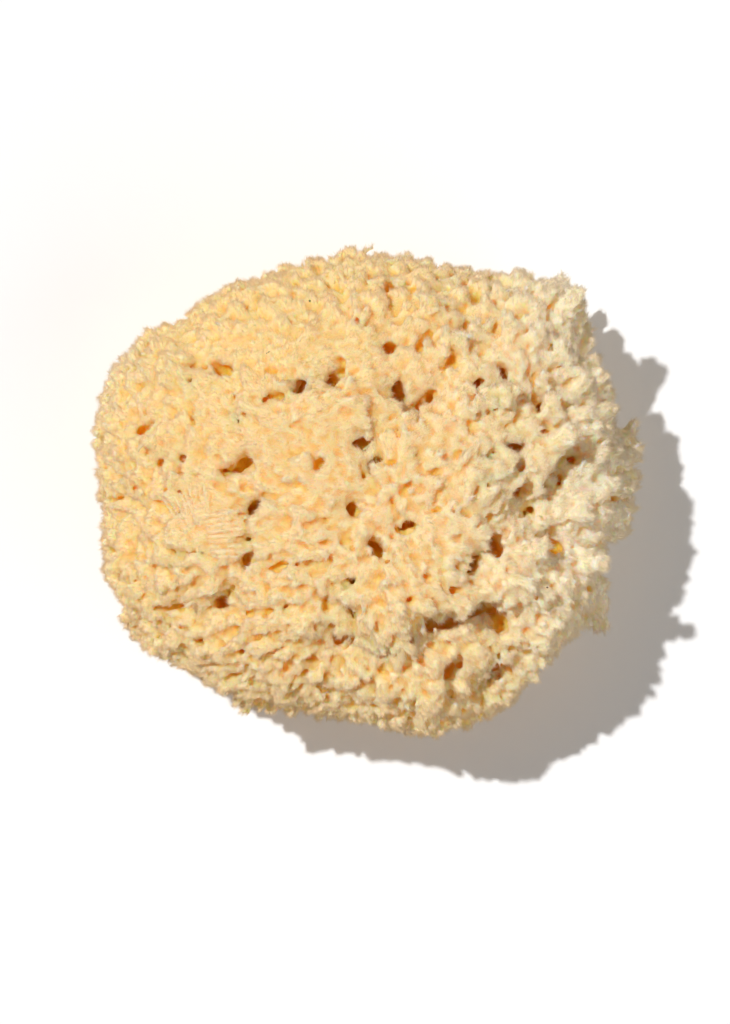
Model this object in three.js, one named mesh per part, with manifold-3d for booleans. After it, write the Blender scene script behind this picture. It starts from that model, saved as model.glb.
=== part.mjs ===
// A natural sea wool sponge, dried and trimmed, lying on the flat cut where it grew on the rock.
// Millimetres, +Z up. The origin is on the cut, under the middle of the sponge.
import * as THREE from 'three';
import { mergeVertices } from 'three/addons/utils/BufferGeometryUtils.js';
import Module from 'manifold-3d';

// Driving dimensions
const WIDTH = 140; // across X, tuft tip to tuft tip
const DEPTH = 122; // across Y
const CROWN_RISE = 46; // from the widest girth up to the crown, before the tufts
const GIRTH_HEIGHT = 30; // from the cut up to the widest girth
const ROOT_DROP = 38; // from the girth down to the lowest point, were it not cut
const FULLNESS = 0.84; // 1 is an ellipsoid, and lower is squarer in profile
const TUFT_SPACING = 9.2; // between the tops of neighbouring tufts
const TUFT_HEIGHT = 5; // from the crease between tufts to the top
const TUFT_STRETCH = 1.4; // length of a tuft, down from the crown, over its width
const TUFT_RIM = 0.72; // radius of a tuft's dome as a share of the spacing
const TUFT_STRAY = 0.12; // how far a tuft's place may turn from the even spiral, in radians
const TUFT_LEAN = 0.4; // how far a tuft leans away from the middle, as a share of its height
const FACETS = 18; // divisions of an icosahedron edge, less one
const SEED = 7;

const COLOUR = 0xecc98f;

// The plan outline at the girth, anticlockwise from +X, at the tuft tips.
const OUTLINE = [
  [68, 1], [67, 19], [60, 37], [54, 51], [35, 57], [2, 60], [-17, 60], [-44, 46], [-61, 36],
  [-69, 18], [-67, -15], [-58, -35], [-30, -53], [2, -59], [20, -61], [37, -54], [58, -32], [64, -15],
];

// Broad swellings and dips of the upper side: plan place, radius and height.
const SWELLINGS = [
  { x: -36, y: -7, radius: 17, height: 3.5 }, // the fluted fan
  { x: -8, y: 27, radius: 10, height: 3 }, // the smooth flap
  { x: 5, y: -25, radius: 13, height: 4 }, // the nose over the front crevice
  { x: 30, y: -24, radius: 13, height: 3.5 }, // the ledge beside it
  { x: 42, y: 14, radius: 22, height: 2.5 }, // the shoulder of long fingers
  { x: 9, y: 21, radius: 9, height: -3.5 }, // the dip beside the flap
  { x: -22, y: 4, radius: 9, height: -2.5 }, // the dip behind the fan
  { x: 26, y: -40, radius: 12, height: -3 }, // below the ledge
];

// Mouths of the water canals: plan place, length, width, turn of the length from +X, and depth.
const PITS = [
  { x: -15.5, y: 27.5, length: 8, width: 3.6, turn: 65, depth: 9 },
  { x: -7.5, y: 29, length: 7.5, width: 3.4, turn: 5, depth: 7 },
  { x: -34.5, y: 31, length: 8, width: 3.6, turn: 5, depth: 7 },
  { x: -32, y: 20, length: 6.5, width: 3.2, turn: -5, depth: 7 },
  { x: -42.5, y: 20, length: 5, width: 3.2, turn: 5, depth: 6 },
  { x: -55, y: 16.5, length: 6, width: 3.6, turn: 10, depth: 6 },
  { x: -32, y: 7, length: 8.5, width: 3.2, turn: 25, depth: 7 },
  { x: -1, y: 14.5, length: 5, width: 4, turn: -30, depth: 9 },
  { x: 3, y: 8.5, length: 6.5, width: 4, turn: 75, depth: 12 },
  { x: -3.5, y: -3.5, length: 6, width: 3.4, turn: 80, depth: 10 },
  { x: 6.5, y: 37, length: 4.5, width: 4, turn: 0, depth: 7 },
  { x: 8.7, y: 26, length: 9, width: 4.2, turn: 95, depth: 11 },
  { x: 17, y: 25, length: 7, width: 5, turn: 60, depth: 8 },
  { x: 28.5, y: 28.5, length: 4.5, width: 4, turn: 90, depth: 8 },
  { x: 35.6, y: 31.5, length: 6, width: 5, turn: 70, depth: 9 },
  { x: 29, y: 40, length: 7, width: 4, turn: 25, depth: 6 },
  { x: 48, y: 40, length: 8, width: 3.4, turn: 75, depth: 7 },
  { x: 46.5, y: 23, length: 6, width: 3.8, turn: 40, depth: 8 },
  { x: 37.6, y: 13, length: 8.5, width: 4.4, turn: -5, depth: 10 },
  { x: 53.5, y: 10, length: 5, width: 3.6, turn: 0, depth: 7 },
  { x: 38.7, y: 2.8, length: 4.4, width: 3.6, turn: 80, depth: 9 },
  { x: 50.4, y: 3.5, length: 4.4, width: 3.6, turn: 80, depth: 8 },
  { x: 42.5, y: -4, length: 7, width: 3.8, turn: 70, depth: 8 },
  { x: 33.6, y: -11.7, length: 7, width: 3.8, turn: -70, depth: 8 },
  { x: 49, y: -13, length: 5, width: 4, turn: 0, depth: 8 },
  { x: 27.5, y: -18, length: 7.5, width: 4.4, turn: -60, depth: 11 },
  { x: 11.7, y: -7.5, length: 7, width: 3.6, turn: 5, depth: 8 },
  { x: 3.5, y: -14, length: 9, width: 3.2, turn: -60, depth: 8 },
  { x: -2, y: -24, length: 10, width: 3.2, turn: 95, depth: 8 },
  { x: -28, y: -3, length: 9, width: 4, turn: 50, depth: 10 },
  { x: -30, y: -14, length: 11, width: 3.4, turn: 95, depth: 8 },
  { x: -35.5, y: -27, length: 6, width: 3.4, turn: 10, depth: 7 },
  { x: -46, y: -27.5, length: 8, width: 3.2, turn: 5, depth: 6 },
  { x: -5.6, y: -36, length: 5, width: 4, turn: 30, depth: 8 },
  { x: 18, y: -33, length: 13, width: 4.2, turn: 8, depth: 10 },
  { x: 32, y: -30.5, length: 13, width: 5, turn: 12, depth: 13 },
  { x: 21.6, y: -44, length: 5.5, width: 4, turn: 40, depth: 7 },
  { x: 4.6, y: -40, length: 5, width: 4, turn: 0, depth: 7 },
  { x: 30, y: -49, length: 9, width: 3.6, turn: 50, depth: 6 },
];
const PIT_SIDES = 7;
const PIT_TAPER = 0.45; // width at the bottom of a pit as a share of its mouth
const PIT_ABOVE = 12; // how far a pit's cutter starts above the smooth body, clear of the tufts

// Canals that the cut went through, in rings about the middle of the underside.
const CANAL_RINGS = [
  { count: 5, ring: 20, radius: 3.2 },
  { count: 9, ring: 37, radius: 2.6 },
];
const CANAL_DEPTH = 9;
const CANAL_SIDES = 8;

const wasm = await Module();
wasm.setup();

// A repeatable random number from 0 to 1 for each whole number.
function chance(index) {
  const wave = Math.sin((index + 1) * 12.9898 + SEED * 78.233) * 43758.5453;
  return wave - Math.floor(wave);
}

// A closed geometry as a solid that can be joined and cut.
function solidOf(geometry) {
  const bare = geometry.clone();
  bare.deleteAttribute('normal');
  bare.deleteAttribute('uv');
  const welded = mergeVertices(bare, 1e-4);
  return new wasm.Manifold(
    new wasm.Mesh({
      numProp: 3,
      vertProperties: new Float32Array(welded.attributes.position.array),
      triVerts: new Uint32Array(welded.index.array),
    }),
  );
}

function geometryOf(solid) {
  const { vertProperties, triVerts } = solid.getMesh();
  const geometry = new THREE.BufferGeometry();
  geometry.setAttribute('position', new THREE.BufferAttribute(vertProperties, 3));
  geometry.setIndex(new THREE.BufferAttribute(triVerts, 1));
  geometry.computeVertexNormals();
  return geometry;
}

// How far the outline is from the middle in the direction of a turn about +Z, less the tufts that stand on it.
const outlineCurve = new THREE.CatmullRomCurve3(
  OUTLINE.map(([x, y]) => new THREE.Vector3(x, y, 0)), true, 'centripetal',
);
const outlineByTurn = outlineCurve
  .getPoints(OUTLINE.length * 24)
  .map((p) => ({ turn: Math.atan2(p.y, p.x), reach: Math.hypot(p.x, p.y) - TUFT_HEIGHT / 2 }))
  .sort((a, b) => a.turn - b.turn);

function girthReach(turn) {
  const after = outlineByTurn.findIndex((p) => p.turn >= turn);
  const high = outlineByTurn[after < 0 ? 0 : after];
  const low = outlineByTurn.at(after <= 0 ? -1 : after - 1);
  const step = (high.turn - low.turn + 2 * Math.PI) % (2 * Math.PI);
  const share = step ? ((turn - low.turn + 2 * Math.PI) % (2 * Math.PI)) / step : 0;
  return THREE.MathUtils.lerp(low.reach, high.reach, share);
}

// The smooth body: the point that a unit direction from its middle maps to.
function bodyPoint(direction) {
  const turn = Math.atan2(direction.y, direction.x);
  const reach = girthReach(turn) * Math.hypot(direction.x, direction.y) ** FULLNESS;
  const rise = direction.z > 0 ? CROWN_RISE : ROOT_DROP;
  const lift = Math.sign(direction.z) * Math.abs(direction.z) ** FULLNESS * rise;
  return new THREE.Vector3(reach * Math.cos(turn), reach * Math.sin(turn), GIRTH_HEIGHT + lift);
}

// The direction square to the smooth body at a point on it.
function outwardAt(point) {
  const rise = point.z > GIRTH_HEIGHT ? CROWN_RISE : ROOT_DROP;
  const reach = (WIDTH + DEPTH) / 4;
  return new THREE.Vector3(
    point.x / reach ** 2, point.y / reach ** 2, (point.z - GIRTH_HEIGHT) / rise ** 2,
  ).normalize();
}

// The point of the upper side over a plan place.
function topPoint(x, y) {
  const spread = (Math.hypot(x, y) / girthReach(Math.atan2(y, x))) ** (1 / FULLNESS);
  const turn = Math.atan2(y, x);
  return bodyPoint(
    new THREE.Vector3(spread * Math.cos(turn), spread * Math.sin(turn), Math.sqrt(1 - spread ** 2)),
  );
}

// Tufts stand on an even spiral of places over the whole body, each with its own height.
function tuftPlaces() {
  const reach = (WIDTH + DEPTH) / 4;
  const area = 4 * Math.PI * reach * ((reach + CROWN_RISE + ROOT_DROP) / 3);
  const count = Math.round(area / TUFT_SPACING ** 2);
  const golden = Math.PI * (3 - Math.sqrt(5));
  return Array.from({ length: count }, (_, i) => {
    const z = 1 - (2 * i + 0.3 + 1.4 * chance(2 * count + i)) / count;
    const turn = i * golden + TUFT_STRAY * chance(i);
    const ring = Math.sqrt(1 - z * z);
    const place = bodyPoint(new THREE.Vector3(ring * Math.cos(turn), ring * Math.sin(turn), z));
    return { place, height: TUFT_HEIGHT * (0.7 + 0.6 * chance(count + i)) };
  });
}

// A dome of height 1 at its middle that falls to 0 at its rim.
function dome(distance, radius) {
  return Math.max(0, 1 - (distance / radius) ** 2);
}

// The distance between two points of the body, shorter along the run of the tufts, which is down from the crown.
function tuftDistance(from, to, run) {
  const gap = to.clone().sub(from);
  const along = gap.dot(run) / TUFT_STRETCH;
  return Math.hypot(along, Math.sqrt(Math.max(0, gap.lengthSq() - gap.dot(run) ** 2)));
}

function bodyGeometry() {
  const geometry = new THREE.IcosahedronGeometry(1, FACETS);
  const tufts = tuftPlaces();
  const position = geometry.attributes.position;
  const direction = new THREE.Vector3();
  for (let i = 0; i < position.count; i++) {
    const point = bodyPoint(direction.fromBufferAttribute(position, i).normalize());
    const outward = outwardAt(point);
    const away = new THREE.Vector3(point.x, point.y, 0).normalize();
    const run = away.clone().addScaledVector(outward, -away.dot(outward)).normalize();
    const raised = Math.max(
      ...tufts.map((t) => t.height * (dome(tuftDistance(t.place, point, run), TUFT_SPACING * TUFT_RIM) - 0.5)),
    );
    let swell = 0;
    if (point.z > GIRTH_HEIGHT)
      for (const s of SWELLINGS) swell += s.height * dome(Math.hypot(point.x - s.x, point.y - s.y), s.radius);
    const moved = point.addScaledVector(outward, raised + swell).addScaledVector(away, TUFT_LEAN * raised);
    position.setXYZ(i, moved.x, moved.y, moved.z);
  }
  return geometry;
}

// A pit's cutter: a tapered oval shaft sunk square to the surface.
function pitCutter({ x, y, length, width, turn, depth }) {
  const shaft = new THREE.CylinderGeometry(0.5, 0.5 * PIT_TAPER, depth + PIT_ABOVE, PIT_SIDES);
  shaft.rotateX(Math.PI / 2);
  shaft.translate(0, 0, (PIT_ABOVE - depth) / 2);
  shaft.scale(length, width, 1);
  shaft.rotateZ(THREE.MathUtils.degToRad(turn));
  const mouth = topPoint(x, y);
  const upright = new THREE.Quaternion().setFromUnitVectors(new THREE.Vector3(0, 0, 1), outwardAt(mouth));
  shaft.applyQuaternion(upright);
  shaft.translate(mouth.x, mouth.y, mouth.z);
  return solidOf(shaft);
}

function canalCutters() {
  return CANAL_RINGS.flatMap(({ count, ring, radius }, r) =>
    Array.from({ length: count }, (_, i) => {
      const turn = ((i + 0.3 * r + 0.4 * chance(i + 50 * r)) * 2 * Math.PI) / count;
      const canal = new THREE.CylinderGeometry(radius, radius, 2 * CANAL_DEPTH, CANAL_SIDES);
      canal.rotateX(Math.PI / 2);
      canal.translate(ring * Math.cos(turn) * (WIDTH / DEPTH), ring * Math.sin(turn), 0);
      return solidOf(canal);
    }),
  );
}

function spongeGeometry() {
  const rock = new THREE.BoxGeometry(2 * WIDTH, 2 * DEPTH, 2 * ROOT_DROP);
  rock.translate(0, 0, -ROOT_DROP);
  let sponge = solidOf(bodyGeometry()).subtract(solidOf(rock));
  for (const cutter of [...PITS.map(pitCutter), ...canalCutters()]) sponge = sponge.subtract(cutter);
  const geometry = geometryOf(sponge);
  geometry.computeBoundingBox();
  const middle = geometry.boundingBox.getCenter(new THREE.Vector3());
  geometry.translate(-middle.x, -middle.y, 0);
  return geometry;
}

const sponge = new THREE.Mesh(
  spongeGeometry(),
  new THREE.MeshStandardMaterial({ color: COLOUR, roughness: 1, metalness: 0 }),
);
sponge.name = 'sponge';

const part = new THREE.Group();
part.add(sponge);
export default part;
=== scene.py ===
import math

import bpy
import numpy as np
import openvdb
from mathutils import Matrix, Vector


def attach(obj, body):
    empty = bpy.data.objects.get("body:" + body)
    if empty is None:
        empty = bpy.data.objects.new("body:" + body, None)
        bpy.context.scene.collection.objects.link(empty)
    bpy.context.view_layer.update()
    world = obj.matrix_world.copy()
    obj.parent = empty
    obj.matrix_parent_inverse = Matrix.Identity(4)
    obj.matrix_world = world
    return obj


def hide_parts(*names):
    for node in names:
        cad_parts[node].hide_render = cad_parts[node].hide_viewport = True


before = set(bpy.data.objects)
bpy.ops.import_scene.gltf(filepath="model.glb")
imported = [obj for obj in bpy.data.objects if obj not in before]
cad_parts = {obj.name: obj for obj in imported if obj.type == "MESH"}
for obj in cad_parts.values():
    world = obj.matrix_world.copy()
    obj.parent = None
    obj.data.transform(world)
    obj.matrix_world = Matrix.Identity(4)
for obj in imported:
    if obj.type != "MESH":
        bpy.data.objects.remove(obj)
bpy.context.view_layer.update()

# Shapes are worked out in millimetres in the part's own frame, and become metres when a mesh is made.
MM = 0.001
SEED = 11

# The photograph's frame, seen from straight above: a pixel is a place on the sponge by the camera's ray.
PHOTO_HEIGHT = 1024
PHOTO_MIDDLE = np.array([365.0, 512.0])
CAMERA_PLACE = np.array([1.02, -4.07, 1200.0])
PIXEL_HEIGHT = 30.0  # the height of the girth, where a pixel has the size below
PIXEL = 0.2545
SENSOR = 36.0
RAY_STEP = 0.25  # how finely a camera ray is followed down to the sponge
RAY_ROUNDS = 8  # how often a place on the upper side is found again by its own height
SETTLE_ROUNDS = 3  # how often it is then moved on to the surface
SETTLE_MOST = 1.5

# The voxel grid that the body is shaped in
COARSE_STEP = 1.0
LAST_CELL = 1.001  # keeps a sample inside the last cell of a grid
FINE_STEP = 0.5
MARGIN = 9.0  # room round the solid for tufts
BAND = 14.0  # how far from the solid's surface its distances are kept
BODY_BLUR = 2.6  # softens the solid's facets
BODY_SINK = 2.9  # the tufts' roots lie this far under the softened solid
CUT_KEEP = 7.0  # below this height the body goes straight down to the cut
CUT_LAYERS = 3  # the lowest layers, which the blur mixes with the far end of the grid
BODY_TRIANGLES = 196000
SHELL_VOXELS = 3  # distances are kept this many voxels from the surface when it becomes a mesh

# How far the rim is drawn in so that its tufts end at the photograph's outline: degrees anticlockwise from the
# right about a pixel, and millimetres.
OUTLINE_MIDDLE = (366, 493)
OUTLINE_REACH = 45.0
OUTLINE_START = 0.4  # the middle of the sponge, out to this share of the reach, is left as it is
OUTLINE_TRIM = [
    (0, 2.8), (15, 2.7), (30, 1.4), (45, -0.5), (60, 1.2), (75, 0.5), (90, -0.8), (105, 2.6), (120, -0.5),
    (135, -0.6), (150, 0.2), (165, 0.8), (180, 3.2), (195, 0.4), (210, 0), (225, 1.2), (240, -0.2), (255, 2.8),
    (270, 2.0), (285, 1.2), (300, 1.2), (315, 2.6), (330, 2.4), (345, 3.0),
]

# Where the tufts change over the upper side: pixel, reach in pixels, then width and length of a tuft in
# millimetres, how steeply it stands off the surface, and how far the creases between tufts are filled.
TUFT_ZONES = [
    ((300, 285), 60, 4.4, 7.0, 0.22, 1.7),
    ((200, 330), 60, 4.4, 7.0, 0.20, 1.7),
    ((450, 290), 60, 4.2, 7.5, 0.26, 1.4),
    ((130, 450), 60, 4.4, 6.5, 0.22, 1.5),
    ((150, 560), 55, 3.8, 7.0, 0.28, 1.2),
    ((215, 515), 40, 3.6, 7.0, 0.12, 1.7),
    ((300, 550), 60, 2.9, 11.0, 0.20, 1.0),
    ((330, 440), 60, 3.2, 7.0, 0.22, 1.4),
    ((420, 470), 60, 3.0, 7.5, 0.26, 1.0),
    ((500, 370), 60, 3.6, 11.0, 0.28, 1.0),
    ((570, 350), 50, 3.6, 9.0, 0.34, 0.9),
    ((590, 490), 60, 3.4, 11.5, 0.36, 0.8),
    ((520, 560), 60, 3.2, 8.5, 0.34, 0.9),
    ((380, 600), 50, 2.9, 7.0, 0.34, 0.9),
    ((470, 660), 60, 2.9, 7.0, 0.45, 0.6),
    ((380, 690), 60, 2.9, 6.0, 0.45, 0.6),
    ((250, 660), 70, 3.0, 6.0, 0.40, 0.6),
]
TUFT_SPACING = 0.95  # between tufts side by side, as a share of their width
TUFT_STRIDE = 0.5  # between tufts one behind the other, as a share of their length
TUFT_CELL = 6.0
TUFT_NEAR = 0.6  # voxels this near to the surface, in voxels, are where tufts may root
TUFT_SPREAD = 0.35  # how far a tuft's way strays, in radians
TUFT_WIDTHS = (0.8, 1.25)  # how far widths, lengths and rises vary from their zone's
TUFT_LENGTHS = (0.6, 1.2)
TUFT_RISES = (0.5, 1.5)
TUFT_BEND = 0.35  # how far the outer part bends up, and how that varies
TUFT_BENDS = (-0.4, 1.0)
TUFT_INNER, TUFT_OUTER = 0.55, 0.45  # shares of the length before and after the bend
TUFT_ROOT = 0.85  # radius at the root
TUFT_LEAST_RISE = 0.05
TUFT_SINK = 1.0  # how deep a root lies, as a share of the tuft's radius
TUFT_TAPER = 0.78
TUFT_BLEND = 1.0
TUFT_STAND = 1.7  # how far a tip may stand off the body
FILL_BLEND = 0.8

# Small locks of wool that cover the tufts
LOCK_NEAR = 0.7  # voxels this near to the surface, in voxels, are where locks may root
LOCK_FEEL = 0.8  # the reach over which a lock feels which way is out
LOCK_SPACING = 1.7
LOCK_DEEPEST = 0.6  # no locks deeper than this below the body, so that pits stay open
LOCK_UNDER = -0.6  # no locks where the surface faces down more than this
LOCK_SPREAD = 0.5
LOCK_RISE = (0.1, 0.8)
LOCK_WIDTH = 1.7
LOCK_LENGTH = 2.6
LOCK_WIDTHS = (0.75, 1.25)  # how far widths and lengths vary
LOCK_LENGTHS = (0.6, 1.3)
LOCK_SINK, LOCK_SINK_FLAT = 0.6, 0.4  # how deep a root lies in radii, and what lying flat adds
LOCK_TAPER = 0.7
LOCK_FILL = (0.8, 1.5)  # between these fills locks go from standing to lying flat
LOCK_FLAT = 0.35
LOCK_BLEND = 0.5

# Which way the wool lies
FLOW_MIDDLE = (372, 500)  # tufts point away from here
FLOW_OUT = 0.35  # how strongly, against the pull of a finger
FLOW_SHARE, FLOW_ROOM = 0.6, 8  # a finger pulls over this share of its length and this many pixels more
ZONE_FAR = 8  # beyond so many reaches a zone counts by its distance alone
ZONE_FLOOR = 1e-12
LOWEST_TUFT = 2.5

# Fingers, ridges and lips that stand out in the photograph: the line of each in pixels from root to tip,
# its width in pixels and how far its tip stands up, in millimetres.
FINGERS = [
    ([(457, 402), (468, 372), (484, 348)], 15, 1.6),
    ([(487, 402), (489, 372), (493, 345)], 14, 1.8),
    ([(519, 392), (513, 362), (507, 336)], 14, 1.6),
    ([(546, 376), (547, 358), (549, 344)], 13, 1.6),
    ([(527, 424), (529, 402), (533, 380)], 13, 1.4),
    ([(562, 404), (568, 384), (577, 366)], 13, 1.6),
    ([(470, 448), (492, 430), (520, 423)], 14, 1.4),
    ([(545, 423), (565, 421), (578, 428)], 13, 1.2),
    ([(440, 430), (462, 412), (480, 396)], 14, 1.2),
    ([(556, 541), (584, 529), (606, 524)], 15, 1.8),
    ([(562, 520), (588, 509), (612, 504)], 15, 1.8),
    ([(575, 498), (598, 488), (618, 479)], 13, 1.8),
    ([(578, 474), (600, 464), (620, 457)], 14, 1.8),
    ([(583, 448), (600, 440), (616, 433)], 13, 1.6),
    ([(548, 512), (570, 500), (588, 492)], 13, 1.4),
    ([(494, 530), (503, 508), (510, 498)], 12, 1.2),
    ([(466, 500), (470, 480), (480, 462)], 13, 1.2),
    ([(510, 540), (517, 522), (530, 520)], 14, 1.4),
    ([(556, 562), (549, 596), (529, 630)], 20, 1.4),
    ([(575, 565), (588, 590), (590, 612)], 14, 1.4),
    ([(436, 622), (438, 640), (436, 656)], 20, 1.8),
    ([(424, 660), (425, 676), (424, 690)], 26, 1.6),
    ([(402, 606), (440, 599), (470, 603)], 10, 1.6),
    ([(432, 614), (465, 612), (498, 598)], 10, 2.0),
    ([(450, 597), (480, 591), (508, 588)], 10, 1.6),
    ([(362, 556), (372, 596), (378, 634)], 22, 2.2),
    ([(350, 584), (354, 606), (362, 630)], 14, 1.6),
    ([(392, 580), (396, 606), (398, 634)], 16, 1.8),
    ([(344, 521), (305, 515), (262, 512)], 11, 1.0),
    ([(340, 537), (300, 531), (260, 530)], 11, 1.0),
    ([(344, 553), (300, 549), (256, 546)], 11, 1.0),
    ([(342, 575), (300, 577), (258, 582)], 11, 1.0),
    ([(332, 586), (296, 592), (262, 598)], 10, 1.0),
    ([(312, 391), (334, 388), (354, 394)], 15, 1.2),
    ([(312, 404), (334, 404), (356, 405)], 15, 1.0),
    ([(378, 402), (386, 400), (392, 404)], 10, 1.4),
    ([(383, 378), (388, 370), (392, 366)], 10, 1.0),
    ([(466, 622), (484, 632), (500, 646)], 11, 1.6),
    ([(455, 640), (468, 652), (476, 668)], 11, 1.6),
    ([(512, 634), (524, 632), (536, 628)], 10, 1.4),
]
FINGER_SHAPE = np.array([0.9, 1.0, 0.85])  # radius at root, middle and tip
FINGER_LIFT, FINGER_RAISE = 0.6, 0.35  # how high a finger's middle line lies, in millimetres and in radii
FINGER_BLEND = 0.9
FINGER_CLEAR = 0.35  # no other tuft roots nearer to a finger than this share of its width

# The fluted fan: its middle and half size in pixels, then for each part the first and last flute from end to
# end and how many flutes there are.
FAN_MIDDLE = np.array([212.0, 521.0])
FAN_SIZE = np.array([40.0, 36.0])
FAN_FLUTES = [
    ((206, 517), (243, 511), (214, 556), (240, 557), 9),
    ((166, 500), (186, 534), (204, 484), (209, 514), 9),
]
FLUTE_RADIUS = 0.42
FLUTE_RAISE = 0.4
FLUTE_STOPS = 6
FLUTE_FEEL = 2.0  # the reach over which a flute feels which way is out
FLUTE_BLEND = 0.3

# The wisp that stands off the top edge, in pixels, with the heights of its root and tip
WISP = [(350, 277), (354, 266), (360, 257), (366, 252), (373, 249)]
WISP_HEIGHTS = (40.0, 36.0)
WISP_RADII = (0.75, 0.4)
WISP_BLEND = 0.3

# Specks of dirt and a dark hair: pixels and radius in pixels
DIRT = [
    ([(310, 301)], 1.6),
    ([(263, 357), (266, 354), (269, 352)], 0.7),
    ([(371, 678)], 1.2),
    ([(547, 588)], 1.2),
]
DIRT_LIFT = 0.05
DIRT_COLOUR = (0.02, 0.013, 0.009, 1)
DIRT_ROUGHNESS = 0.8
HAIR_GRAINS = 12

# Lobes that close round a canal mouth: pixel of the middle, radius of the ring and width of its lip in pixels.
RING_LOBES = [((515, 487), 11, 11), ((558, 482), 12, 12)]
RING_STOPS = 13
RING_LIFT = 0.8

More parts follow.
